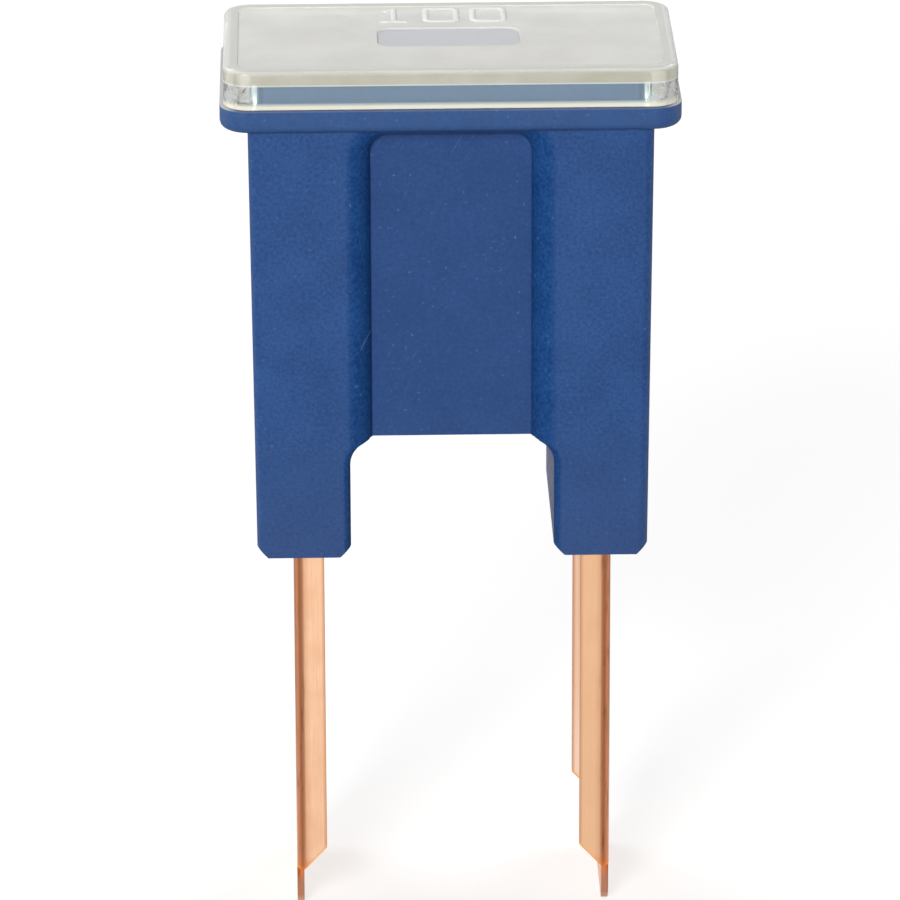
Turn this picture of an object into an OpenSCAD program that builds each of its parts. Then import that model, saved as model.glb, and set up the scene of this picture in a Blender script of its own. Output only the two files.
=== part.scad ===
// Plug-in cartridge fuse with two long channel blades, a moulded housing and a clear cover.
// Millimetres, +Z up, the front of the housing faces -Y. The origin is under the middle of
// the fuse, on the plane of the blade tips.

/* [Blades] */
// Distance between the middles of the two blades
blade_pitch = 15.9; // [13:0.1:19]
// Thickness of a blade over its folded channel
blade_t = 1.7; // [1.3:0.1:2.2]
// Width of a blade, front to back
blade_w = 10.6; // [8:0.1:12]
// Straight length of a blade below the feet
blade_l = 17.85; // [10:0.05:26]
// Height of the slanted ends of the folded sides
slant_h = 1.4; // [0.8:0.1:2.5]
// Length of the tongue that the web leaves below the folded sides
tongue_l = 2.6; // [1.2:0.05:4]
// Step from the outer face of the blade in to the tongue's edge
tongue_inset = 1; // [0.7:0.1:2]
// Chamfer on the corners of the tongue
tongue_chamfer = 0.6; // [0.2:0.1:1.2]

/* [Element] */
// Thickness of the copper sheet
sheet_t = 0.4; // [0.3:0.05:0.5]
// Outer radius of the blade's folds
fold_r = 0.6; // [0.55:0.05:0.9]
// How far the stop ears stand out from the folded sides
ear_l = 1; // [0.6:0.1:1.2]
// Height of the stop ears
ear_h = 2.5; // [1:0.1:5]
// Height of the channel above the chamber floor
channel_rise = 6.5; // [5.5:0.1:9]
// Height over which the web narrows to the riser
riser_taper_h = 2.5; // [1:0.1:4]
// Width of the riser strips
riser_w = 4; // [3.4:0.1:5.5]
// Outer radius of the bend from riser to link
link_bend_r = 0.8; // [0.6:0.05:1.2]
// Depth of the link's top below the seat of the cover
link_drop = 1.4; // [1.2:0.1:3]
// Width of the link between its risers and its necks
link_w = 3; // [2.6:0.1:3.4]
// Half length of the narrowed link
link_half_l = 5.8; // [5:0.1:6]
// Width of the melting necks
neck_w = 1.4; // [0.8:0.1:2]
// Length of a melting neck
neck_l = 1.8; // [1.2:0.1:2]
// Distance of a neck's middle from the middle of the link
neck_x = 3.4; // [3:0.1:3.8]
// Length of the claws along the link
claw_l = 1.6; // [1:0.1:2.4]
// Length of the claw tips folded over the pellet
claw_lap = 0.8; // [0.4:0.1:0.9]

/* [Pellet] */
// Length of the pellet along the link
pellet_l = 3; // [2.6:0.1:3.6]
// Width of the pellet
pellet_w = 2.2; // [2:0.1:2.4]
// Height of the pellet
pellet_h = 0.8; // [0.5:0.1:0.9]

/* [Housing] */
// Wall between a blade and the front or back of the housing
column_wall = 0.65; // [0.5:0.05:1.4]
// Wall between a blade and the end of the housing, at the flange
end_wall = 2.15; // [1.6:0.05:3]
// Wall between a blade and the arch
foot_wall = 1.45; // [1.25:0.05:2]
// Draft of the two ends, in degrees
end_draft = 0.52; // [0.2:0.02:1.2]
// Rounding of the upright edges
body_edge_r = 0.55; // [0.3:0.05:0.8]
// Height from the arch to the flange
panel_h = 18; // [15:0.05:24]
// Height of the arch between the feet
arch_h = 6.75; // [4.5:0.05:10]
// Radius of the arch corners
arch_r = 1.4; // [0.6:0.05:2]
// Rounding of the arch's front and back edges
arch_edge_r = 0.45; // [0.2:0.05:0.7]
// Chamfer on the bottom corners of the feet
foot_chamfer = 0.6; // [0.3:0.05:0.9]

/* [Panels] */
// Width of the recessed panel
panel_w = 8.75; // [7.5:0.05:9]
// Depth of the panel behind the columns
panel_recess = 1.15; // [0.8:0.05:1.3]
// Radius of the columns' rolled inner edges
roll_r = 1.5; // [1.4:0.05:1.7]
// Radius of the panel's top corners
panel_corner_r = 0.95; // [0.5:0.05:1.5]
// Distance of the panel's top below the flange
panel_drop = 0.6; // [0.4:0.05:1]
// Wall behind the panel
panel_wall = 0.95; // [0.7:0.05:1.3]
// Floor of the chamber over the arch
floor_t = 1.3; // [0.9:0.05:2]

/* [Flange and rim] */
// Lip of the flange past the ends of the housing
flange_end_lip = 1.5; // [1.3:0.05:2.2]
// Lip of the flange past the front and back of the housing
flange_side_lip = 0.5; // [0.4:0.05:0.9]
// Thickness of the flange
flange_h = 1.3; // [1:0.05:2]
// Corner radius of the flange in plan
flange_corner_r = 1.6; // [1.3:0.05:2]
// Rounding of the flange's lower edge
flange_edge_r = 0.45; // [0.2:0.05:0.6]
// Thickness of the rim at the front and back
rim_wall = 0.4; // [0.3:0.05:0.6]
// Step from the end of the housing in to the rim
rim_inset = 0.2; // [0:0.05:0.5]
// Corner radius of the rim
rim_corner_r = 1; // [0.6:0.05:1.3]
// Height of the flange under the wide mouth of the chamber
mouth_step = 0.4; // [0.3:0.05:0.6]

/* [Cover] */
// Height of the cover above the flange
cover_h = 2.2; // [2:0.05:3]
// Thickness of the cover's top
cover_top_t = 0.9; // [0.6:0.05:1.1]
// Step from the edge of the flange in to the cover
cover_step = 0.2; // [0.1:0.05:0.3]
// Rounding of the cover's upper edge
cover_edge_r = 0.3; // [0.1:0.05:0.4]
// Width of the border that stands round the cover's sunk top
border_w = 0.8; // [0.5:0.05:1.2]
// Depth of the sunk top below its border
field_depth = 0.08; // [0.05:0.01:0.12]
// Corner radius of the sunk top
field_r = 0.7; // [0.3:0.05:1.5]
// Length of the window
window_l = 7.8; // [6:0.1:9]
// Width of the window
window_w = 3.4; // [2.6:0.1:4.4]
// Corner radius of the window
window_r = 0.8; // [0.5:0.05:1.25]
// Depth of the window below the sunk top
window_depth = 0.12; // [0.05:0.01:0.2]
// Thickness of the ribs that hold the element down
press_rib_t = 1; // [0.6:0.1:1.2]
// Width of those ribs, front to back
press_rib_w = 4; // [2:0.1:5]

/* [Fits] */
// Clearance round a blade in its slot
slot_clearance = 0.05; // [0.02:0.01:0.12]
// Clearance between cover and rim
cover_clearance = 0.05; // [0.02:0.01:0.12]
// Clearance between the ribs and the link
rib_clearance = 0.1; // [0.02:0.01:0.2]
// Clearance between the rim and the cover's top
rim_gap = 0.1; // [0.05:0.05:0.3]

/* [Hidden] */
$fn = 64;
// segments of the rounded corners that are blended together
blend_fn = 32;
// how far a cutting shape runs past the face that it cuts
past = 1;
// how far a rounding shape runs past the two faces that it joins
edge_past = 0.1;

// levels, from the blade tips up
slant_z = tongue_l;
blade_z = slant_z + slant_h;
foot_z = blade_z + blade_l;
arch_z = foot_z + arch_h;
floor_z = arch_z + floor_t;
flange_z = arch_z + panel_h;
seat_z = flange_z + flange_h;
top_z = seat_z + cover_h;
ceiling_z = top_z - cover_top_t;
rim_z = ceiling_z - rim_gap;
field_z = top_z - field_depth;
channel_z = floor_z + channel_rise;
link_z = seat_z - link_drop;

// places across the fuse
blade_out_x = (blade_pitch + blade_t) / 2;
blade_in_x = (blade_pitch - blade_t) / 2;
slot_out_x = blade_out_x + slot_clearance;
slot_in_x = blade_in_x - slot_clearance;
arch_w = 2 * (slot_in_x - foot_wall);
body_w = 2 * (slot_out_x + end_wall);
body_h = panel_h + arch_h;
foot_out_x = body_w / 2 - body_h * tan(end_draft);
// inner end of the deep part of the chamber, past the tips of the stop ears
column_x = blade_in_x - ear_l - rib_clearance;

// places from front to back
slot_w = blade_w + 2 * slot_clearance;
body_d = slot_w + 2 * column_wall;
chamber_w = body_d - 2 * (panel_recess + panel_wall);
tongue_w = blade_w - 2 * tongue_inset;

// flange, rim and cover in plan
flange_w = body_w + 2 * flange_end_lip;
flange_d = body_d + 2 * flange_side_lip;
rim_w = body_w - 2 * rim_inset;
rim_d = slot_w + 2 * rim_wall;
cover_w = flange_w - 2 * cover_step;
cover_d = flange_d - 2 * cover_step;
cover_corner_r = flange_corner_r - cover_step;

// width of the rolled edge beside the panel
roll_w = sqrt(roll_r * roll_r - pow(roll_r - panel_recess, 2));

// Rectangle with round corners, centred
module round_rect(w, d, r) {
    square([w - 2 * r, d], center = true);
    square([w, d - 2 * r], center = true);
    for (x = [-1, 1], y = [-1, 1])
        translate([x * (w / 2 - r), y * (d / 2 - r)])
            circle(r);
}

// Standing outline with a flat foot and two round top corners
module round_top(w, h, r) {
    translate([-w / 2, 0])
        square([w, h - r]);
    translate([r - w / 2, 0])
        square([w - 2 * r, h]);
    for (x = [-1, 1])
        translate([x * (w / 2 - r), h - r])
            circle(r);
}

// Plate with round corners in plan and a rounded lower edge
module round_edge_plate(w, d, h, corner, edge) {
    hull()
        for (x = [-1, 1], y = [-1, 1])
            translate([x * (w / 2 - corner), y * (d / 2 - corner), 0])
                rotate_extrude($fn = blend_fn) {
                    square([corner - edge, h]);
                    translate([0, edge])
                        square([corner, h - edge]);
                    intersection() {
                        translate([corner - edge, edge])
                            circle(edge);
                        square([corner, h]);
                    }
                }
}

// Stands an outline drawn in X and Z up, and gives it a depth from front to back
module front_to_back(depth) {
    rotate([90, 0, 0])
        linear_extrude(depth, center = true)
            children();
}

// Stands an outline drawn in Y and Z up, and gives it a length from end to end
module end_to_end(length) {
    rotate([90, 0, 90])
        linear_extrude(length, center = true)
            children();
}

// Both ends of the fuse are alike
module both_ends() {
    children();
    mirror([1, 0, 0])
        children();
}

// Front and back of the fuse are alike
module both_sides() {
    children();
    mirror([0, 1, 0])
        children();
}

// One long block whose end face leans in with the draft, and whose upright edges are round
module drafted_block() {
    translate([body_w / 2, 0, flange_z])
        rotate([0, end_draft, 0])
            translate([-body_w, 0, -body_h - past])
                linear_extrude(body_h + 2 * past)
                    round_rect(2 * body_w, body_d, body_edge_r);
}

// Solid body between the flange and the feet
module body_block() {
    intersection() {
        drafted_block();
        mirror([1, 0, 0])
            drafted_block();
        translate([-body_w, -body_d, foot_z])
            cube([2 * body_w, 2 * body_d, body_h]);
    }
}

// Section through the space in front of the panel: reach is the way out to the panel's edge
module roll_section(reach) {
    difference() {
        translate([0, -past])
            square([reach + roll_w, panel_recess + past]);
        translate([reach + roll_w, roll_r])
            circle(roll_r);
    }
}

// Space in front of the panel, with the rolled edges of the columns
module panel_space() {
    corner_x = panel_w / 2 - panel_corner_r;
    corner_z = flange_z - panel_drop - panel_corner_r;
    translate([0, -body_d / 2, 0]) {
        both_ends() {
            translate([0, 0, arch_z - past])
                linear_extrude(corner_z - arch_z + past)
                    roll_section(panel_w / 2);
            translate([corner_x, 0, corner_z])
                rotate([-90, 0, 0])
                    rotate_extrude(angle = -90)
                        roll_section(panel_corner_r);
        }
        translate([corner_x, 0, corner_z])
            rotate([0, -90, 0])
                linear_extrude(2 * corner_x)
                    roll_section(panel_corner_r);
    }
}

// Corner that a rounded edge leaves free, drawn from the sharp corner inwards
module edge_section(r) {
    difference() {
        translate([-edge_past, -edge_past])
            square(r + edge_past);
        translate([r, r])
            circle(r);
    }
}

// Arch between the feet, with its front and back edges rounded
module arch_space() {
    front_to_back(body_d + 2 * past)
        translate([0, foot_z - past])
            round_top(arch_w, arch_h + past, arch_r);
    both_ends() both_sides() {
        translate([arch_w / 2, -body_d / 2, foot_z - past])
            linear_extrude(arch_h - arch_r + past)
                edge_section(arch_edge_r);
        translate([arch_w / 2 - arch_r, -body_d / 2, arch_z - arch_r])
            rotate([-90, 0, 0])
                rotate_extrude(angle = -90)
                    translate([arch_r, 0])
                        edge_section(arch_edge_r);
    }
}

// Chamfers on the bottom corners of a foot
module foot_corners() {
    both_ends()
        for (x = [arch_w / 2, foot_out_x])
            translate([x, 0, foot_z])
                rotate([0, 45, 0])
                    cube([foot_chamfer * sqrt(2), body_d + past, foot_chamfer * sqrt(2)], center = true);
}

// Chamber for the element: slots, columns, the space behind the panels and the wide mouth
module chamber() {
    both_ends() {
        translate([slot_in_x, -slot_w / 2, foot_z - past])
            cube([slot_out_x - slot_in_x, slot_w, rim_z - foot_z + 2 * past]);
        translate([column_x, -slot_w / 2, floor_z])
            cube([slot_out_x - column_x, slot_w, rim_z - floor_z + past]);
    }
    translate([-slot_out_x, -chamber_w / 2, floor_z])
        cube([2 * slot_out_x, chamber_w, rim_z - floor_z + past]);
    translate([-slot_out_x, -slot_w / 2, flange_z + mouth_step])
        cube([2 * slot_out_x, slot_w, rim_z - flange_z + past]);
}

// Blue moulded housing
module housing() {
    color([0.20, 0.33, 0.54])
        difference() {
            union() {
                difference() {
                    body_block();
                    both_sides() panel_space();
                    arch_space();
                    foot_corners();
                }
                translate([0, 0, flange_z])
                    round_edge_plate(flange_w, flange_d, flange_h, flange_corner_r, flange_edge_r);
                translate([0, 0, seat_z - mouth_step])
                    linear_extrude(rim_z - seat_z + mouth_step)
                        round_rect(rim_w, rim_d, rim_corner_r);
            }
            chamber();
        }
}

// Clear cover that caps the rim and holds the element down
module cover() {
    rib_x = blade_out_x - link_bend_r - press_rib_t / 2;
    rib_z = link_z + rib_clearance;
    color([0.85, 0.86, 0.86, 0.5])
        difference() {
            union() {
                difference() {
                    translate([0, 0, top_z])
                        mirror([0, 0, 1])
                            round_edge_plate(cover_w, cover_d, cover_h, cover_corner_r, cover_edge_r);
                    translate([0, 0, seat_z - past])
                        linear_extrude(ceiling_z - seat_z + past)
                            round_rect(rim_w + 2 * cover_clearance, rim_d + 2 * cover_clearance,
                                rim_corner_r + cover_clearance);
                }
                both_ends()
                    translate([rib_x - press_rib_t / 2, -press_rib_w / 2, rib_z])
                        cube([press_rib_t, press_rib_w, ceiling_z - rib_z + cover_top_t / 2]);
            }
            translate([0, 0, field_z])
                linear_extrude(past)
                    round_rect(cover_w - 2 * border_w, cover_d - 2 * border_w, field_r);
            translate([0, 0, field_z - window_depth])
                linear_extrude(past)
                    round_rect(window_l, window_w, window_r);
        }
}

// Strip that runs up one blade, across the link and down the other
module strip_profile() {
    difference() {
        round_top(2 * blade_out_x, link_z, link_bend_r);
        translate([0, -past])
            round_top(2 * (blade_out_x - sheet_t), link_z - sheet_t + past, link_bend_r - sheet_t);
    }
}

// Half outline of the strip's width: tongue, web of the blade, taper and riser
module strip_outline() {
    web_y = blade_w / 2 - fold_r;
    both_ends()
        polygon([
            [0, 0],
            [tongue_w / 2 - tongue_chamfer, 0],
            [tongue_w / 2, tongue_chamfer],
            [tongue_w / 2, slant_z],
            [web_y, slant_z],
            [web_y, channel_z],
            [riser_w / 2, channel_z + riser_taper_h],
            [riser_w / 2, link_z],
            [0, link_z]
        ]);
}

// Solid bar of the blade's section, with its two outer corners rounded
module channel_section(out_x, in_x, w, r) {
    translate([in_x, -w / 2])
        square([out_x - r - in_x, w]);
    translate([in_x, r - w / 2])
        square([out_x - in_x, w - 2 * r]);
    for (y = [-1, 1])
        translate([out_x - r, y * (w / 2 - r)])
            circle(r);
}

// Side of the folded flanges: slanted end, straight blade and stop ear
module flange_outline() {
    ear_x = blade_in_x - ear_l;
    polygon([
        [blade_out_x, slant_z],
        [blade_out_x - sheet_t, slant_z],
        [blade_in_x, blade_z],
        [blade_in_x, floor_z],
        [ear_x, floor_z],
        [ear_x, floor_z + ear_h],
        [blade_in_x, floor_z + ear_h + ear_l],
        [blade_in_x, channel_z],
        [blade_out_x, channel_z]
    ]);
}

// Channel of one blade, folded from the web
module blade_channel() {
    in_x = blade_in_x - ear_l;
    intersection() {
        translate([0, 0, slant_z])
            linear_extrude(channel_z - slant_z)
                difference() {
                    channel_section(blade_out_x, in_x, blade_w, fold_r);
                    channel_section(blade_out_x - sheet_t, in_x - past, blade_w - 2 * sheet_t, fold_r - sheet_t);
                }
        front_to_back(blade_w + past)
            flange_outline();
    }
}

// What is cut from the sides of the link: its narrowing and its melting necks
module link_cuts() {
    translate([0, 0, link_z - sheet_t / 2])
        linear_extrude(2 * sheet_t, center = true)
            both_sides() {
                translate([-link_half_l, link_w / 2])
                    square([2 * link_half_l, riser_w]);
                both_ends()
                    translate([neck_x - neck_l / 2, neck_w / 2])
                        square([neck_l, riser_w]);
            }
}

// Claws folded up from the link and over the pellet
module claws() {
    claw_w = pellet_w + 2 * sheet_t;
    translate([0, 0, link_z - sheet_t])
        end_to_end(claw_l)
            difference() {
                round_top(claw_w, pellet_h + 2 * sheet_t, sheet_t);
                translate([-pellet_w / 2, sheet_t])
                    square([pellet_w, pellet_h]);
                translate([claw_lap - pellet_w / 2, sheet_t])
                    square([pellet_w - 2 * claw_lap, pellet_h + 2 * sheet_t]);
            }
}

// One stamped and folded copper sheet: two blades, two risers and the link
module fuse_element() {
    color([0.88, 0.66, 0.50]) {
        difference() {
            intersection() {
                front_to_back(blade_w)
                    strip_profile();
                end_to_end(2 * body_w)
                    strip_outline();
            }
            link_cuts();
        }
        both_ends() blade_channel();
        claws();
    }
}

// Low-melting pellet that the claws hold on the link
module tin_pellet() {
    color([0.78, 0.79, 0.80])
        translate([0, 0, link_z])
            linear_extrude(pellet_h)
                round_rect(pellet_l, pellet_w, pellet_w / 3);
}

housing();
cover();
fuse_element();
tin_pellet();
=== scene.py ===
import math

import bmesh
import bpy
from mathutils import Matrix, Vector


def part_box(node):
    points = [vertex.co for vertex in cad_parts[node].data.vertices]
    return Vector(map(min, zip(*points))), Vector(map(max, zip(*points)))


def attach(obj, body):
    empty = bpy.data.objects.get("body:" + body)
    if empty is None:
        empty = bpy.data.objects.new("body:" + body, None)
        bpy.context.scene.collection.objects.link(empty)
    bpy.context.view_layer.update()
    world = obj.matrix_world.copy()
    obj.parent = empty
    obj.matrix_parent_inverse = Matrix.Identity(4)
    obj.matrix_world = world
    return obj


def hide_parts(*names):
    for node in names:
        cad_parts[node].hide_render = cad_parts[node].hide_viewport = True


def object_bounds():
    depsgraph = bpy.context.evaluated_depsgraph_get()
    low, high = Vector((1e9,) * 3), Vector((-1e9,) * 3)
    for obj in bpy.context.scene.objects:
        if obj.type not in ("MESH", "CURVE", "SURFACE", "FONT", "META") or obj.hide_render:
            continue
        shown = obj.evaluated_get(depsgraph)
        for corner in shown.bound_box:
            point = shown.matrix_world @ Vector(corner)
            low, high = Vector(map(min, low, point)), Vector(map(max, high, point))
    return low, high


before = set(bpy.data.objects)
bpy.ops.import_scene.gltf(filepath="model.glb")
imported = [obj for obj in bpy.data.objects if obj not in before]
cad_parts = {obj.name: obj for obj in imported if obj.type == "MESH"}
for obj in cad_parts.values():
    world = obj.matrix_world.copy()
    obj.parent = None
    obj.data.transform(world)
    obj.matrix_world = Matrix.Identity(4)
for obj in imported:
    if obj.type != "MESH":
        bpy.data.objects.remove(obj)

cadLow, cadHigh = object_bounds()
scene = bpy.context.scene
mm = 0.001  # the frame is in metres, the sizes below are in millimetres


def highCorner(node):
    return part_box(node)[1] / mm


# half widths and levels that the finishes follow, in millimetres
coverHigh = highCorner("cover")
bladeHigh = highCorner("fuse_element")
capHeight = 2.2  # cap above its seat on the flange
fieldSink = 0.08  # sunk top of the cap below its border
seatZ = coverHigh.z - capHeight
fieldZ = coverHigh.z - fieldSink
print("frame loaded, object height %.1f mm" % (cadHigh.z / mm))


# small helpers for node trees
def addNode(tree, kind, **settings):
    made = tree.nodes.new(kind)
    for key, value in settings.items():
        setattr(made, key, value)
    return made


def newMaterial(name):
    material = bpy.data.materials.new(name)
    material.use_nodes = True
    tree = material.node_tree
    return material, tree, tree.nodes["Principled BSDF"]


def mmCoords(tree, stretch=(1, 1, 1), turn=(0, 0, 0)):
    # object coordinates in millimetres, turned in degrees and stretched per axis
    coords = addNode(tree, "ShaderNodeTexCoord")
    scaled = addNode(tree, "ShaderNodeMapping", vector_type="TEXTURE")
    scaled.inputs["Rotation"].default_value = [math.radians(t) for t in turn]
    scaled.inputs["Scale"].default_value = [mm / s for s in stretch]
    tree.links.new(coords.outputs["Object"], scaled.inputs["Vector"])
    return scaled.outputs["Vector"]


def splitAxes(tree, vector):
    made = addNode(tree, "ShaderNodeSeparateXYZ")
    tree.links.new(vector, made.inputs[0])
    return made.outputs[0], made.outputs[1], made.outputs[2]


def surfaceNormal(tree):
    geometry = addNode(tree, "ShaderNodeNewGeometry")
    return splitAxes(tree, geometry.outputs["Normal"])


def noise(tree, coords, scale, detail=3.0, roughness=0.55):
    made = addNode(tree, "ShaderNodeTexNoise")
    made.inputs["Scale"].default_value = scale
    made.inputs["Detail"].default_value = detail
    made.inputs["Roughness"].default_value = roughness
    tree.links.new(coords, made.inputs["Vector"])
    return made.outputs["Fac"]


def feed(tree, item, socket):
    # a number or colour is set on the socket, anything else is linked to it
    if isinstance(item, (int, float)):
        socket.default_value = item
    elif isinstance(item, tuple):
        socket.default_value = (*item, 1.0)
    else:
        tree.links.new(item, socket)


def remap(tree, value, low, high, toLow=0.0, toHigh=1.0):
    made = addNode(tree, "ShaderNodeMapRange", clamp=True)
    for index, item in enumerate((value, low, high, toLow, toHigh)):
        feed(tree, item, made.inputs[index])
    return made.outputs[0]


def calc(tree, operation, first, second=0.0):
    made = addNode(tree, "ShaderNodeMath", operation=operation)
    feed(tree, first, made.inputs[0])
    feed(tree, second, made.inputs[1])
    return made.outputs[0]


def size(tree, value):
    return calc(tree, "ABSOLUTE", value)


def product(tree, *factors):
    result = factors[0]
    for factor in factors[1:]:
        result = calc(tree, "MULTIPLY", result, factor)
    return result


def blendColour(tree, factor, first, second):
    made = addNode(tree, "ShaderNodeMix", data_type="RGBA")
    feed(tree, factor, made.inputs[0])
    feed(tree, first, made.inputs[6])
    feed(tree, second, made.inputs[7])
    return made.outputs[2]


def blendValue(tree, factor, first, second):
    made = addNode(tree, "ShaderNodeMix", data_type="FLOAT")
    feed(tree, factor, made.inputs[0])
    feed(tree, first, made.inputs[2])
    feed(tree, second, made.inputs[3])
    return made.outputs[0]


def addBump(tree, shader, height, strength, distanceMm):
    made = addNode(tree, "ShaderNodeBump")
    made.inputs["Strength"].default_value = strength
    made.inputs["Distance"].default_value = distanceMm * mm
    tree.links.new(height, made.inputs["Height"])
    tree.links.new(made.outputs["Normal"], shader.inputs["Normal"])


# distance outside the cap's outline seen from above, negative inside it
def pastCap(tree, x, y):
    cornerMm = 1.4
    fromX = calc(tree, "SUBTRACT", size(tree, x), coverHigh.x - cornerMm)
    fromY = calc(tree, "SUBTRACT", size(tree, y), coverHigh.y - cornerMm)
    beyondX = calc(tree, "MAXIMUM", fromX, 0.0)
    beyondY = calc(tree, "MAXIMUM", fromY, 0.0)
    squares = calc(tree, "ADD", product(tree, beyondX, beyondX), product(tree, beyondY, beyondY))
    return calc(tree, "SUBTRACT", calc(tree, "SQRT", squares), cornerMm)


# satin blue moulding: fine mottling, pale specks, hairline scuffs, a paler flange and duller feet
def bluePlastic():
    look = {
        "deep": (0.0070, 0.0470, 0.175),
        "light": (0.0190, 0.0800, 0.261),
        "speck": (0.16, 0.23, 0.40),
        "scuff": (0.10, 0.16, 0.33),
        "flange": (0.034, 0.091, 0.245),
        "foot": (0.030, 0.062, 0.172),
        "panel": (0.0095, 0.0460, 0.172),
        "paintedSeatLine": (0.56, 0.56, 0.56),
        "tones": (0.39, 0.61),
        "panelShadeShare": 0.5,
        "flangeShare": 0.55,
        "footShare": 0.45,
        "speckShare": 0.4,
        "scuffShare": 0.7,
        "scratchShare": 0.75,
        "paintedSeatLineShares": (0.16, 0.9),
        "paintedSeatLineEndMm": 0.8,
        "rough": (0.46, 0.60),
        "gloss": 0.34,
        "rollGloss": 0.04,
        "rollMm": 7.0,
        "panelYMm": 4.95,
        "flangeMm": 46.6,
        "footMm": 22.0,
        "footFadeMm": 9.0,
        "scratchMm": (-4.72, 34.46),
        "scratchRun": (0.459, 0.888),
        "scratchHalfMm": 0.66,
        "scratchWideMm": 0.03,
        "bump": 0.16,
        "bumpMm": 0.02,
    }
    material, tree, shader = newMaterial("bluePlastic")
    coords = mmCoords(tree)
    x, y, z = splitAxes(tree, coords)
    normalX, normalY = surfaceNormal(tree)[:2]
    mottle = noise(tree, coords, 5.0, 5.0, 0.65)
    cloud = noise(tree, coords, 0.35, 2.0)
    tone = calc(tree, "ADD", product(tree, mottle, 0.75), product(tree, cloud, 0.25))
    body = blendColour(tree, remap(tree, tone, *look["tones"]), look["deep"], look["light"])
    # painted shade makes the sunk panel deeper in colour; the flange is paler
    panelY = look["panelYMm"]
    panelShadeMask = remap(tree, size(tree, y), panelY + 0.1, panelY, 0.0, look["panelShadeShare"])
    body = blendColour(tree, panelShadeMask, body, look["panel"])
    flangeZ = look["flangeMm"]
    onFlange = remap(tree, z, flangeZ - 0.1, flangeZ + 0.2, 0.0, look["flangeShare"])
    body = blendColour(tree, onFlange, body, look["flange"])
    footTop = look["footMm"] + look["footFadeMm"]
    onFoot = remap(tree, z, footTop, look["footMm"], 0.0, look["footShare"])
    body = blendColour(tree, onFoot, body, look["foot"])
    # specks of dust and thin scuffs
    specks = remap(tree, noise(tree, coords, 5.0, 1.0), 0.73, 0.80, 0.0, look["speckShare"])
    body = blendColour(tree, specks, body, look["speck"])
    hair = noise(tree, mmCoords(tree, (9.0, 9.0, 0.35), (0, 28, 0)), 1.0, 2.0)
    worn = remap(tree, noise(tree, coords, 0.28, 1.0), 0.56, 0.66)
    scuffs = product(tree, remap(tree, hair, 0.70, 0.76, 0.0, look["scuffShare"]), worn)
    body = blendColour(tree, scuffs, body, look["scuff"])
    # one longer scratch across the front of a roll
    runX, runZ = look["scratchRun"]
    halfRun = look["scratchHalfMm"]
    fromX = calc(tree, "SUBTRACT", x, look["scratchMm"][0])
    fromZ = calc(tree, "SUBTRACT", z, look["scratchMm"][1])
    along = size(tree, calc(tree, "ADD", product(tree, fromX, runX), product(tree, fromZ, runZ)))
    across = calc(tree, "SUBTRACT", product(tree, fromX, runZ), product(tree, fromZ, runX))
    wavy = calc(tree, "ADD", across, remap(tree, cloud, 0.3, 0.7, -0.1, 0.1))
    scratch = product(
        tree,
        remap(tree, along, halfRun, halfRun - 0.3, 0.0, look["scratchShare"]),
        remap(tree, size(tree, wavy), look["scratchWideMm"] * 1.6, look["scratchWideMm"]),
        remap(tree, y, -3.0, -3.1),  # on the front alone
    )
    body = blendColour(tree, scratch, body, look["scuff"])
    # painted pale line on the flange round the cap, standing in for light caught where the cap
    # sits, stronger towards the ends
    endX = coverHigh.x
    paintedSeatLineMask = product(
        tree,
        remap(tree, pastCap(tree, x, y), -0.14, -0.10),
        remap(tree, z, seatZ - 0.06, seatZ - 0.02),
        remap(tree, size(tree, x), endX - look["paintedSeatLineEndMm"], endX, *look["paintedSeatLineShares"]),
    )
    body = blendColour(tree, paintedSeatLineMask, body, look["paintedSeatLine"])
    tree.links.new(body, shader.inputs["Base Color"])
    rough = remap(tree, noise(tree, coords, 2.0, 3.0), 0.3, 0.7, *look["rough"])
    tree.links.new(rough, shader.inputs["Roughness"])
    # the rolled edges beside the panel are matte
    nearPanel = remap(tree, size(tree, x), look["rollMm"] + 1.0, look["rollMm"])
    rolled = product(tree, normalX, normalY, nearPanel)
    gloss = remap(tree, size(tree, rolled), 0.03, 0.30, look["gloss"], look["rollGloss"])
    shader.inputs["Specular IOR Level"].default_value = look["gloss"]
    tree.links.new(gloss, shader.inputs["Specular IOR Level"])
    addBump(tree, shader, noise(tree, coords, 11.0, 3.0), look["bump"], look["bumpMm"])
    return material
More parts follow.
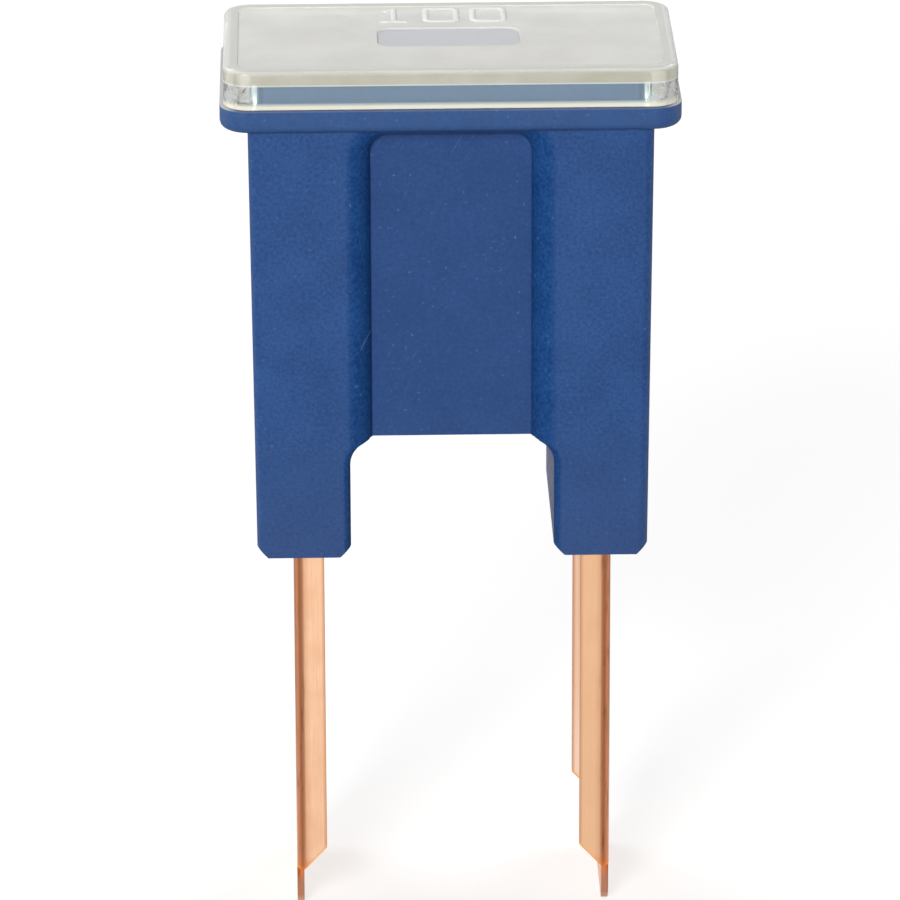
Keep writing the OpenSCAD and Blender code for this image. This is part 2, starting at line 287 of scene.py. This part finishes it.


# clear cap: polished inside, hazy skirt, a milky edge on the top plate with a painted glow over its
# yellowish tint, a painted highlight line under it, frosted top with a painted highlight round its
# edge, and a painted cream glow where the cap sits
def clearPlastic():
    look = {
        "clear": (0.985, 0.99, 0.985),
        "skirt": (0.77, 0.985, 1.0),
        "corner": (0.76, 0.78, 0.765),
        "plateGlowDark": (0.76, 0.73, 0.57),
        "plateGlowLight": (0.86, 0.84, 0.71),
        "line": (0.93, 0.93, 0.88),
        "paintedSeatGlow": (0.98, 0.94, 0.77),
        "border": (0.845, 0.845, 0.795),
        "frontBorder": (0.89, 0.89, 0.84),
        "frontPlateGlow": (0.73, 0.72, 0.62),
        "rim": (0.955, 0.955, 0.935),
        "fieldDark": (0.815, 0.81, 0.77),
        "fieldLight": (0.895, 0.89, 0.85),
        "window": (0.725, 0.735, 0.77),
        "plateMm": 0.78,
        "lineMm": 0.07,
        "paintedSeatGlowMm": 0.20,
        "paintedSeatGlowFadeMm": 0.24,
        "rimMm": 0.42,
        "endWallMm": 1.45,
        "sideWallMm": 0.50,
        "ior": 1.50,
        "bump": 0.06,
        "bumpMm": 0.01,
    }
    clearShare = {
        "skirt": 0.845,
        "blotch": 0.45,
        "edge": 0.45,
        "line": 0.35,
        "paintedSeatGlow": 0.15,
        "top": 0.24,
        "field": (0.18, 0.30),
    }
    roughShare = {"skirt": 0.05, "blotch": 0.35, "edge": 0.25, "top": 0.15, "field": (0.40, 0.52)}
    material, tree, shader = newMaterial("clearPlastic")
    coords = mmCoords(tree)
    x, y, z = splitAxes(tree, coords)
    facing = surfaceNormal(tree)[2]
    grain = noise(tree, coords, 2.2, 4.0)
    cloud = noise(tree, coords, 0.30, 3.0)
    past = pastCap(tree, x, y)
    # where each finish lies, the top with the small steps round its field and window
    upward = calc(tree, "MAXIMUM", remap(tree, facing, 0.3, 0.65), remap(tree, past, -0.4, -0.5))
    onTop = product(tree, upward, remap(tree, z, fieldZ - 0.25, fieldZ - 0.2))
    onField = product(tree, onTop, remap(tree, z, fieldZ + 0.05, fieldZ + 0.03))
    onWindow = product(tree, onTop, remap(tree, z, fieldZ - 0.05, fieldZ - 0.08))
    halfX = coverHigh.x - 0.5 * look["endWallMm"]
    halfY = coverHigh.y - 0.5 * look["sideWallMm"]
    outEnd = remap(tree, size(tree, x), halfX, halfX + 0.1)
    outSide = remap(tree, size(tree, y), halfY, halfY + 0.05)
    outside = calc(tree, "MAXIMUM", outEnd, outSide)
    upright = product(tree, outside, remap(tree, size(tree, facing), 0.65, 0.3))
    plateLow = coverHigh.z - look["plateMm"]
    # painted glow of light carried inside the top plate, over the plate's own yellowish tint, on
    # its upright edge
    onEdge = product(tree, upright, remap(tree, z, plateLow, plateLow + 0.03))
    # painted highlight in a thin whitish line just under the top plate
    lineLow = plateLow - look["lineMm"]
    overLine = remap(tree, z, lineLow - 0.02, lineLow)
    highlightLineMask = product(tree, upright, overLine, remap(tree, z, plateLow + 0.02, plateLow))
    # painted cream glow of light caught in the skirt where the cap sits on the flange
    paintedSeatGlowTop = seatZ + look["paintedSeatGlowMm"]
    paintedSeatGlowMask = product(tree, upright, remap(tree, z, paintedSeatGlowTop + look["paintedSeatGlowFadeMm"], paintedSeatGlowTop))
    # painted highlight along the outer edge of the top, left off the front
    rimIn = -look["rimMm"]
    behindFront = remap(tree, y, 0.9 - coverHigh.y, 1.4 - coverHigh.y)
    rimHighlightMask = product(tree, onTop, remap(tree, past, rimIn, rimIn + 0.06), behindFront)
    # colour, haze and polish, bluer in front of the hollow
    hollowX = coverHigh.x - look["endWallMm"]
    overHollow = remap(tree, size(tree, x), hollowX + 0.2, hollowX - 0.3)
    skirt = blendColour(tree, overHollow, look["corner"], look["skirt"])
    colour = blendColour(tree, upright, look["clear"], skirt)
    uneven = remap(tree, noise(tree, coords, 0.45, 2.0), 0.35, 0.65)
    plateGlow = blendColour(tree, uneven, look["plateGlowDark"], look["plateGlowLight"])
    colour = blendColour(tree, onEdge, colour, plateGlow)
    colour = blendColour(tree, highlightLineMask, colour, look["line"])
    colour = blendColour(tree, paintedSeatGlowMask, colour, look["paintedSeatGlow"])
    field = calc(tree, "ADD", product(tree, cloud, 0.7), product(tree, grain, 0.3))
    field = blendColour(tree, remap(tree, field, 0.38, 0.62), look["fieldDark"], look["fieldLight"])
    # the painted glow of the plate edge runs on to the rounded front edge of the top
    rounded = remap(tree, past, -0.38, -0.22)
    front = blendColour(tree, rounded, look["frontBorder"], look["frontPlateGlow"])
    border = blendColour(tree, behindFront, front, look["border"])
    colour = blendColour(tree, onTop, colour, border)
    colour = blendColour(tree, rimHighlightMask, colour, look["rim"])
    colour = blendColour(tree, onField, colour, field)
    colour = blendColour(tree, onWindow, colour, look["window"])
    tree.links.new(colour, shader.inputs["Base Color"])
    # blotches of haze in the four corners of the skirt
    blotch = product(
        tree,
        upright,
        remap(tree, size(tree, x), hollowX - 0.5, hollowX),
        remap(tree, size(tree, y), coverHigh.y - 2.2, coverHigh.y - 1.4),
        remap(tree, noise(tree, coords, 1.3, 2.0), 0.44, 0.60),
    )
    clearness = blendValue(tree, upright, 1.0, clearShare["skirt"])
    clearness = blendValue(tree, blotch, clearness, clearShare["blotch"])
    clearness = blendValue(tree, onEdge, clearness, clearShare["edge"])
    clearness = blendValue(tree, highlightLineMask, clearness, clearShare["line"])
    clearness = blendValue(tree, paintedSeatGlowMask, clearness, clearShare["paintedSeatGlow"])
    clearness = blendValue(tree, onTop, clearness, clearShare["top"])
    frosted = remap(tree, grain, 0.3, 0.7, *clearShare["field"])
    clearness = blendValue(tree, onField, clearness, frosted)
    tree.links.new(clearness, shader.inputs["Transmission Weight"])
    rough = blendValue(tree, blotch, roughShare["skirt"], roughShare["blotch"])
    rough = blendValue(tree, onEdge, rough, roughShare["edge"])
    rough = blendValue(tree, onTop, rough, roughShare["top"])
    rough = blendValue(tree, onField, rough, remap(tree, grain, 0.3, 0.7, *roughShare["field"]))
    tree.links.new(rough, shader.inputs["Roughness"])
    shader.inputs["IOR"].default_value = look["ior"]
    addBump(tree, shader, noise(tree, coords, 6.0, 2.0), look["bump"], look["bumpMm"])
    return material


# rolled copper alloy: fine lines along the blade, painted dark reflection on the folds, painted
# shadow along the sheared edges, painted shade on one blade, warm stains at the tips
def copperSheet():
    look = {
        "bright": (0.95, 0.60, 0.385),
        "dull": (0.86, 0.50, 0.305),
        "inner": (1.0, 0.80, 0.64),
        "tan": (0.74, 0.43, 0.235),
        "fold": (0.50, 0.175, 0.076),
        "tarnish": (0.20, 0.065, 0.03),
        "edge": (0.60, 0.29, 0.145),
        "cut": (0.95, 0.42, 0.13),
        "stain": (0.78, 0.20, 0.04),
        "tip": (0.42, 0.185, 0.115),
        "sheetMm": 0.4,
        "foldDarkSideMm": 0.45,
        "tongueInsetMm": 1.0,
        "bladeMm": 1.7,
        "slantMm": 1.4,
        "tongueMm": 2.6,
        "bladeTopMm": 22.5,
        "tones": (0.37, 0.63),
        "rightBladeShadeShare": 0.6,
        "innerShare": 0.9,
        "foldDarkSideShare": 0.55,
        "tarnishShare": 0.6,
        "edgeShadowShare": 0.75,
        "cutShare": 0.8,
        "tipShare": 0.9,
        "stainShares": (0.35, 0.9),
        "rough": (0.28, 0.40),
        "bump": 0.10,
        "bumpMm": 0.01,
    }
    material, tree, shader = newMaterial("copperSheet")
    lines = noise(tree, mmCoords(tree, (14, 14, 0.4)), 1.0, 4.0)
    plain = mmCoords(tree)
    patches = noise(tree, plain, 0.7, 4.0)
    x, y, z = splitAxes(tree, plain)
    outX = size(tree, x)
    normalX, normalY = surfaceNormal(tree)[:2]
    outward = product(tree, normalY, y)  # negative on the hollow side of the channel
    tone = calc(tree, "ADD", product(tree, lines, 0.5), product(tree, patches, 0.5))
    sheet = blendColour(tree, remap(tree, tone, *look["tones"]), look["dull"], look["bright"])
    # painted shade darkens the blade on the right side, and the hollow side of the channel is paler
    # than the outside
    sheet = blendColour(tree, remap(tree, x, 0.0, 2.0, 0.0, look["rightBladeShadeShare"]), sheet, look["tan"])
    onInner = remap(tree, outward, -1.0, -3.0, 0.0, look["innerShare"])
    sheet = blendColour(tree, onInner, sheet, look["inner"])
    # painted dark reflection on the folds, with the bent copper a little darker too, and the colour
    # runs out on to the sides
    streak = remap(tree, lines, 0.2, 0.8, 0.75, 1.0)
    webX = bladeHigh.x - look["sheetMm"]
    sideways = remap(tree, size(tree, normalY), 0.6, 0.9)
    onSide = product(tree, sideways, remap(tree, outward, -0.5, 0.5))
    nearWeb = remap(tree, outX, webX - look["foldDarkSideMm"], webX, 0.0, look["foldDarkSideShare"])
    foldDarkSide = product(tree, onSide, streak, nearWeb)
    sheet = blendColour(tree, foldDarkSide, sheet, look["fold"])
    # painted dark reflection where the sheet bends, found from the slant of the surface
    bent = remap(tree, size(tree, product(tree, normalX, normalY)), 0.02, 0.42)
    sheet = blendColour(tree, product(tree, bent, streak), sheet, look["fold"])
    streaks = noise(tree, mmCoords(tree, (4.0, 4.0, 0.55)), 1.0, 3.0)
    streaks = remap(tree, streaks, 0.56, 0.72, 0.0, look["tarnishShare"])
    nearFold = calc(tree, "MAXIMUM", bent, foldDarkSide)
    sheet = blendColour(tree, product(tree, streaks, nearFold), sheet, look["tarnish"])
    # painted shadow in a thin dark line along the inner edges of the blades
    inX = bladeHigh.x - look["bladeMm"]
    onBlade = remap(tree, z, look["bladeTopMm"], look["bladeTopMm"] - 0.2)
    edgeShadow = remap(tree, outX, inX + 0.20, inX + 0.05, 0.0, look["edgeShadowShare"])
    onEdge = product(tree, onBlade, edgeShadow)
    sheet = blendColour(tree, onEdge, sheet, look["edge"])
    # bright slanted cut
    tongue = look["tongueMm"]
    cutZ = remap(tree, outX, inX, webX, tongue + look["slantMm"], tongue)
    nearCut = remap(tree, calc(tree, "SUBTRACT", z, cutZ), 0.24, 0.06, 0.0, look["cutShare"])
    onCut = product(tree, nearCut, remap(tree, z, tongue - 0.05, tongue + 0.05))
    sheet = blendColour(tree, onCut, sheet, look["cut"])
    # heat colour where the tongue leaves the folded sides
    tongueY = bladeHigh.y - look["tongueInsetMm"]
    nearEdge = remap(tree, size(tree, y), tongueY - 1.4, tongueY - 0.1, 0.25, 1.0)
    below = remap(tree, z, tongue + 0.1, tongue - 0.1, 0.0, look["tipShare"])
    onTongue = product(tree, nearEdge, below)
    sheet = blendColour(tree, onTongue, sheet, look["tip"])
    rise = remap(tree, z, tongue - 1.2, tongue - 0.5)
    fall = remap(tree, z, tongue + 0.8, tongue)
    patchy = remap(tree, patches, 0.35, 0.65, *look["stainShares"])
    warm = product(tree, nearEdge, rise, fall, patchy)
    sheet = blendColour(tree, warm, sheet, look["stain"])
    tree.links.new(sheet, shader.inputs["Base Color"])
    tree.links.new(remap(tree, lines, 0.3, 0.7, *look["rough"]), shader.inputs["Roughness"])
    shader.inputs["Metallic"].default_value = 1.0
    addBump(tree, shader, lines, look["bump"], look["bumpMm"])
    return material


# dull grey tin with a cast skin
def dullTin():
    look = {
        "light": (0.62, 0.63, 0.63),
        "dark": (0.42, 0.43, 0.45),
        "rough": (0.35, 0.55),
        "bump": 0.2,
        "bumpMm": 0.03,
    }
    material, tree, shader = newMaterial("dullTin")
    skin = noise(tree, mmCoords(tree), 2.5, 4.0)
    colour = blendColour(tree, remap(tree, skin, 0.3, 0.7), look["dark"], look["light"])
    tree.links.new(colour, shader.inputs["Base Color"])
    tree.links.new(remap(tree, skin, 0.3, 0.7, *look["rough"]), shader.inputs["Roughness"])
    shader.inputs["Metallic"].default_value = 1.0
    addBump(tree, shader, skin, look["bump"], look["bumpMm"])
    return material


# white moulded figures on the cap
def figureWhite():
    look = {
        "light": (0.85, 0.86, 0.835),
        "dark": (0.79, 0.80, 0.775),
        "rough": (0.40, 0.55),
        "bump": 0.1,
        "bumpMm": 0.01,
    }
    material, tree, shader = newMaterial("figureWhite")
    skin = noise(tree, mmCoords(tree), 3.0, 3.0)
    colour = blendColour(tree, remap(tree, skin, 0.3, 0.7), look["dark"], look["light"])
    tree.links.new(colour, shader.inputs["Base Color"])
    tree.links.new(remap(tree, skin, 0.3, 0.7, *look["rough"]), shader.inputs["Roughness"])
    addBump(tree, shader, skin, look["bump"], look["bumpMm"])
    return material


# a copy of a solid's mesh, its flat faces whole and its outer edges broken where there is room
def dressedSolid(node, name, material, edgeMm):
    edgeRule = {
        "mergeMm": 0.002,
        "flatDeg": 0.4,
        "sharpDeg": 32.0,
        "roomWidths": 2.5,
        "segments": 2,
        "flatWeight": 60,
    }
    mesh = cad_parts[node].data.copy()
    mesh.name = name
    piece = bpy.data.objects.new(name, mesh)
    scene.collection.objects.link(piece)
    shape = bmesh.new()
    shape.from_mesh(mesh)
    bmesh.ops.remove_doubles(shape, verts=shape.verts, dist=edgeRule["mergeMm"] * mm)
    flat = math.radians(edgeRule["flatDeg"])
    bmesh.ops.dissolve_limit(shape, angle_limit=flat, verts=shape.verts, edges=shape.edges)
    for face in shape.faces:
        face.smooth = True
    weights = shape.edges.layers.float.new("bevel_weight_edge")
    for edge in shape.edges:
        turn = edge.calc_face_angle_signed()
        if abs(turn) > math.radians(edgeRule["sharpDeg"]):
            beside = [other for corner in edge.verts for other in corner.link_edges]
            shortest = min(other.calc_length() for other in beside)
            roomy = turn > 0 and shortest > edgeRule["roomWidths"] * edgeMm * mm
            edge[weights] = float(roomy)
            edge.smooth = roomy  # inner corners and tight spots stay crisp lines
    shape.to_mesh(mesh)
    shape.free()
    if "custom_normal" in mesh.attributes:
        mesh.attributes.remove(mesh.attributes["custom_normal"])
    mesh.materials.clear()
    mesh.materials.append(material)
    broken = piece.modifiers.new("brokenEdges", "BEVEL")
    broken.width = edgeMm * mm
    broken.segments = edgeRule["segments"]
    broken.limit_method = "WEIGHT"
    smooth = piece.modifiers.new("flatFaces", "WEIGHTED_NORMAL")
    smooth.weight = edgeRule["flatWeight"]
    smooth.keep_sharp = True
    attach(piece, "root")
    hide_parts(node)
    return piece


# a hair of air under the cap, whose seat would lie in the plane of the flange
def liftSeat(piece, hairMm):
    for vertex in piece.data.vertices:
        if abs(vertex.co.z / mm - seatZ) < hairMm:
            vertex.co.z = (seatZ + hairMm) * mm


edgesMm = {"housing": 0.06, "cover": 0.03, "element": 0.03, "pellet": 0.08}
seatHairMm = 0.015
housing = dressedSolid("housing", "housingShell", bluePlastic(), edgesMm["housing"])
cover = dressedSolid("cover", "coverCap", clearPlastic(), edgesMm["cover"])
liftSeat(cover, seatHairMm)
element = dressedSolid("fuse_element", "fuseStrip", copperSheet(), edgesMm["element"])
pellet = dressedSolid("tin_pellet", "tinPellet", dullTin(), edgesMm["pellet"])
print("pieces dressed")


# tree that gives drawn strokes a width and a height
def strokeTree(material):
    tree = bpy.data.node_groups.new("strokeTree", "GeometryNodeTree")
    face = tree.interface
    face.new_socket("Geometry", in_out="INPUT", socket_type="NodeSocketGeometry")
    width = face.new_socket("Stroke Width", in_out="INPUT", socket_type="NodeSocketFloat")
    height = face.new_socket("Stroke Height", in_out="INPUT", socket_type="NodeSocketFloat")
    face.new_socket("Geometry", in_out="OUTPUT", socket_type="NodeSocketGeometry")
    start = addNode(tree, "NodeGroupInput")
    section = addNode(tree, "GeometryNodeCurvePrimitiveQuadrilateral")
    tree.links.new(start.outputs["Stroke Width"], section.inputs["Width"])
    tree.links.new(start.outputs["Stroke Height"], section.inputs["Height"])
    sweep = addNode(tree, "GeometryNodeCurveToMesh")
    sweep.inputs["Fill Caps"].default_value = True
    tree.links.new(start.outputs["Geometry"], sweep.inputs["Curve"])
    tree.links.new(section.outputs["Curve"], sweep.inputs["Profile Curve"])
    whole = addNode(tree, "GeometryNodeRealizeInstances")
    tree.links.new(sweep.outputs["Mesh"], whole.inputs["Geometry"])
    finish = addNode(tree, "GeometryNodeSetMaterial")
    finish.inputs["Material"].default_value = material
    tree.links.new(whole.outputs["Geometry"], finish.inputs["Geometry"])
    end = addNode(tree, "NodeGroupOutput")
    tree.links.new(finish.outputs["Geometry"], end.inputs["Geometry"])
    return tree, width.identifier, height.identifier


# a plain current rating in raised figures, near the back edge of the cap
def ratingFigures():
    figure = {
        "heightMm": 2.30,
        "widthMm": 1.70,
        "footMm": 1.50,
        "cornerMm": 0.35,
        "strokeMm": 0.32,
        "raiseMm": 0.08,
        "middleYMm": 3.95,
        "stepMm": 0.004,
        "placesMm": (-2.95, -0.35, 2.25),
        "cornerSteps": 6,
        "flagWide": 0.42,  # shares of half the height
        "flagLow": 0.56,
    }
    halfH = figure["heightMm"] / 2
    halfW = figure["widthMm"] / 2
    halfFoot = figure["footMm"] / 2
    corner = figure["cornerMm"]

    def zero(place):
        points = []
        for quarter in range(4):
            turnX = (1, -1, -1, 1)[quarter] * (halfW - corner)
            turnY = (1, 1, -1, -1)[quarter] * (halfH - corner)
            for step in range(figure["cornerSteps"] + 1):
                angle = math.radians(90 * (quarter + step / figure["cornerSteps"]))
                px = place + turnX + corner * math.cos(angle)
                points.append((px, turnY + corner * math.sin(angle)))
        return [(points, True)]

    def one(place):
        tip = (place - halfH * figure["flagWide"], halfH * figure["flagLow"])
        flag = [tip, (place, halfH)]
        stem = [(place, halfH), (place, -halfH)]
        foot = [(place - halfFoot, -halfH), (place + halfFoot, -halfH)]
        return [(flag, False), (stem, False), (foot, False)]

    strokes = bpy.data.curves.new("ratingStrokes", "CURVE")
    strokes.dimensions = "3D"
    strokes.twist_mode = "Z_UP"
    first, second, third = figure["placesMm"]
    for index, (points, closed) in enumerate(one(first) + zero(second) + zero(third)):
        z = (fieldZ + index * figure["stepMm"]) * mm  # crossing strokes never share a plane
        spline = strokes.splines.new("POLY")
        spline.points.add(len(points) - 1)
        for dot, (px, py) in zip(spline.points, points):
            dot.co = (px * mm, (py + figure["middleYMm"]) * mm, z, 1.0)
        spline.use_cyclic_u = closed
    source = bpy.data.objects.new("ratingStrokes", strokes)
    scene.collection.objects.link(source)
    tree, widthId, heightId = strokeTree(figureWhite())
    sweep = source.modifiers.new("strokes", "NODES")
    sweep.node_group = tree
    sweep[widthId] = figure["strokeMm"] * mm
    sweep[heightId] = figure["raiseMm"] * mm
    graph = bpy.context.evaluated_depsgraph_get()
    mesh = bpy.data.meshes.new_from_object(source.evaluated_get(graph))
    mesh.name = "ratingFigures"
    bpy.data.objects.remove(source)
    piece = bpy.data.objects.new("ratingFigures", mesh)
    scene.collection.objects.link(piece)
    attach(piece, "root")
    low = [min(v.co[i] for v in mesh.vertices) / mm for i in range(3)]
    high = [max(v.co[i] for v in mesh.vertices) / mm for i in range(3)]
    print("figures from", [round(v, 2) for v in low], "to", [round(v, 2) for v in high])


ratingFigures()


def shownRays(tree):
    # what the camera or clear plastic shows, and what a shiny surface mirrors
    path = addNode(tree, "ShaderNodeLightPath")
    through = path.outputs["Is Transmission Ray"]
    shown = calc(tree, "MAXIMUM", path.outputs["Is Camera Ray"], through)
    return shown, path.outputs["Is Glossy Ray"]


# floor that stays white round the object's shadow
def paleFloor():
    look = {
        "sideM": 6.0,
        "albedo": 0.40,
        "glow": 0.63,
        "farGlow": 1.0,
        "nearM": 0.12,
        "farM": 1.2,
    }
    mesh = bpy.data.meshes.new("paleFloor")
    half = look["sideM"] / 2
    corners = [(-half, -half, 0), (half, -half, 0), (half, half, 0), (-half, half, 0)]
    mesh.from_pydata(corners, [], [(0, 1, 2, 3)])
    floor = bpy.data.objects.new("paleFloor", mesh)
    scene.collection.objects.link(floor)
    material, tree, shader = newMaterial("paleFloor")
    tree.nodes.remove(shader)
    matte = addNode(tree, "ShaderNodeBsdfDiffuse")
    matte.inputs["Color"].default_value = (look["albedo"],) * 3 + (1.0,)
    glow = addNode(tree, "ShaderNodeEmission")
    shown, mirrored = shownRays(tree)
    coords = addNode(tree, "ShaderNodeTexCoord")
    away = addNode(tree, "ShaderNodeVectorMath", operation="LENGTH")
    tree.links.new(coords.outputs["Object"], away.inputs[0])
    reach = (look["nearM"], look["farM"])
    seen = remap(tree, away.outputs["Value"], *reach, look["glow"], look["farGlow"])
    shine = product(tree, mirrored, look["glow"])
    level = calc(tree, "MAXIMUM", product(tree, shown, seen), shine)
    tree.links.new(level, glow.inputs["Strength"])
    both = addNode(tree, "ShaderNodeAddShader")
    tree.links.new(matte.outputs[0], both.inputs[0])
    tree.links.new(glow.outputs[0], both.inputs[1])
    tree.links.new(both.outputs[0], tree.nodes["Material Output"].inputs["Surface"])
    mesh.materials.append(material)


# grey cards on the floor at the four corners, seen only in shiny surfaces
def greyCards():
    card = {
        "grey": 0.55,
        "fromDeg": 18.0,
        "toDeg": 74.0,
        "startXMm": 10.5,
        "startYMm": 6.0,
        "reachMm": 220.0,
        "liftMm": 0.2,
        "steps": 4,
    }
    material, tree, shader = newMaterial("greyCard")
    tree.nodes.remove(shader)
    glow = addNode(tree, "ShaderNodeEmission")
    glow.inputs["Color"].default_value = (card["grey"],) * 3 + (1.0,)
    tree.links.new(glow.outputs[0], tree.nodes["Material Output"].inputs["Surface"])
    for sideX in (-1, 1):
        for sideY in (-1, 1):
            points = [(sideX * card["startXMm"], sideY * card["startYMm"])]
            for step in range(card["steps"] + 1):
                share = step / card["steps"]
                angle = math.radians(card["fromDeg"] + share * (card["toDeg"] - card["fromDeg"]))
                points.append((
                    sideX * (card["startXMm"] + card["reachMm"] * math.sin(angle)),
                    sideY * (card["startYMm"] + card["reachMm"] * math.cos(angle)),
                ))
            mesh = bpy.data.meshes.new("greyCard")
            corners = [(px * mm, py * mm, card["liftMm"] * mm) for px, py in points]
            mesh.from_pydata(corners, [], [tuple(range(len(corners)))])
            mesh.materials.append(material)
            piece = bpy.data.objects.new("greyCard", mesh)
            piece.visible_camera = False
            piece.visible_diffuse = False
            piece.visible_transmission = False
            piece.visible_shadow = False
            scene.collection.objects.link(piece)


# white behind the object, dimmer in what it mirrors and in the light that it gets
def studioWorld():
    look = {"shown": 1.0, "mirrored": 0.40, "fill": 0.20}
    world = bpy.data.worlds.new("studioWorld")
    world.use_nodes = True
    tree = world.node_tree
    sky = tree.nodes["Background"]
    sky.inputs["Color"].default_value = (1.0, 1.0, 1.0, 1.0)
    shown, mirrored = shownRays(tree)
    level = blendValue(tree, mirrored, look["fill"], look["mirrored"])
    tree.links.new(blendValue(tree, shown, level, look["shown"]), sky.inputs["Strength"])
    scene.world = world


# round lamp that faces the middle of the object, by its azimuth and elevation in degrees
def softLamp(name, azimuth, elevation, sizeM, watts):
    distanceM = 0.70
    lamp = bpy.data.lights.new(name, "AREA")
    lamp.shape = "DISK"
    lamp.size = sizeM
    lamp.energy = watts
    az, el = math.radians(azimuth), math.radians(elevation)
    aim = Vector((0.0, 0.0, cadHigh.z / 2))
    reach = Vector((math.sin(az) * math.cos(el), -math.cos(az) * math.cos(el), math.sin(el)))
    rig = bpy.data.objects.new(name, lamp)
    rig.location = aim + reach * distanceM
    rig.rotation_euler = (-reach).to_track_quat("-Z", "Y").to_euler()
    scene.collection.objects.link(rig)


paleFloor()
greyCards()
studioWorld()
softLamp("keyLamp", azimuth=-20, elevation=27, sizeM=0.26, watts=3.3)
softLamp("fillLamp", azimuth=12, elevation=14, sizeM=0.40, watts=0.7)
softLamp("backLampLeft", azimuth=-140, elevation=42, sizeM=0.35, watts=1.65)
softLamp("backLampRight", azimuth=140, elevation=42, sizeM=0.35, watts=1.65)
softLamp("sideLampLeft", azimuth=-100, elevation=8, sizeM=0.40, watts=1.4)
softLamp("sideLampRight", azimuth=105, elevation=8, sizeM=0.40, watts=0.9)
print("studio lit")


# camera fitted to the photograph's outline, for an image of 900 x 900
def photoCamera():
    view = {
        "azimuth": -1.291,
        "elevation": 20.917,
        "roll": -0.183,
        "distanceMm": 371.2,
        "focalPx": 6640.7,
        "framePx": 900.0,
        "sensorMm": 36.0,
        "nearM": 0.01,
        "farM": 20.0,
        "aimMm": (0.009, 0.0, 25.85),
    }
    az, el, roll = (math.radians(view[k]) for k in ("azimuth", "elevation", "roll"))
    back = Vector((math.sin(az) * math.cos(el), -math.cos(az) * math.cos(el), math.sin(el)))
    right = Vector((0, 0, 1)).cross(back).normalized()
    up = back.cross(right)
    tilted = right * math.cos(roll) + up * math.sin(roll)
    upright = up * math.cos(roll) - right * math.sin(roll)
    camera = bpy.data.objects.new("photoCamera", bpy.data.cameras.new("photoCamera"))
    camera.data.sensor_width = view["sensorMm"]
    camera.data.lens = view["sensorMm"] * view["focalPx"] / view["framePx"]
    camera.data.clip_start = view["nearM"]
    camera.data.clip_end = view["farM"]
    place = Vector(view["aimMm"]) * mm + back * view["distanceMm"] * mm
    turn = Matrix((tilted, upright, back)).transposed()
    camera.matrix_world = Matrix.Translation(place) @ turn.to_4x4()
    scene.collection.objects.link(camera)
    scene.camera = camera


photoCamera()
scene.view_settings.view_transform = "Standard"
print("camera set")
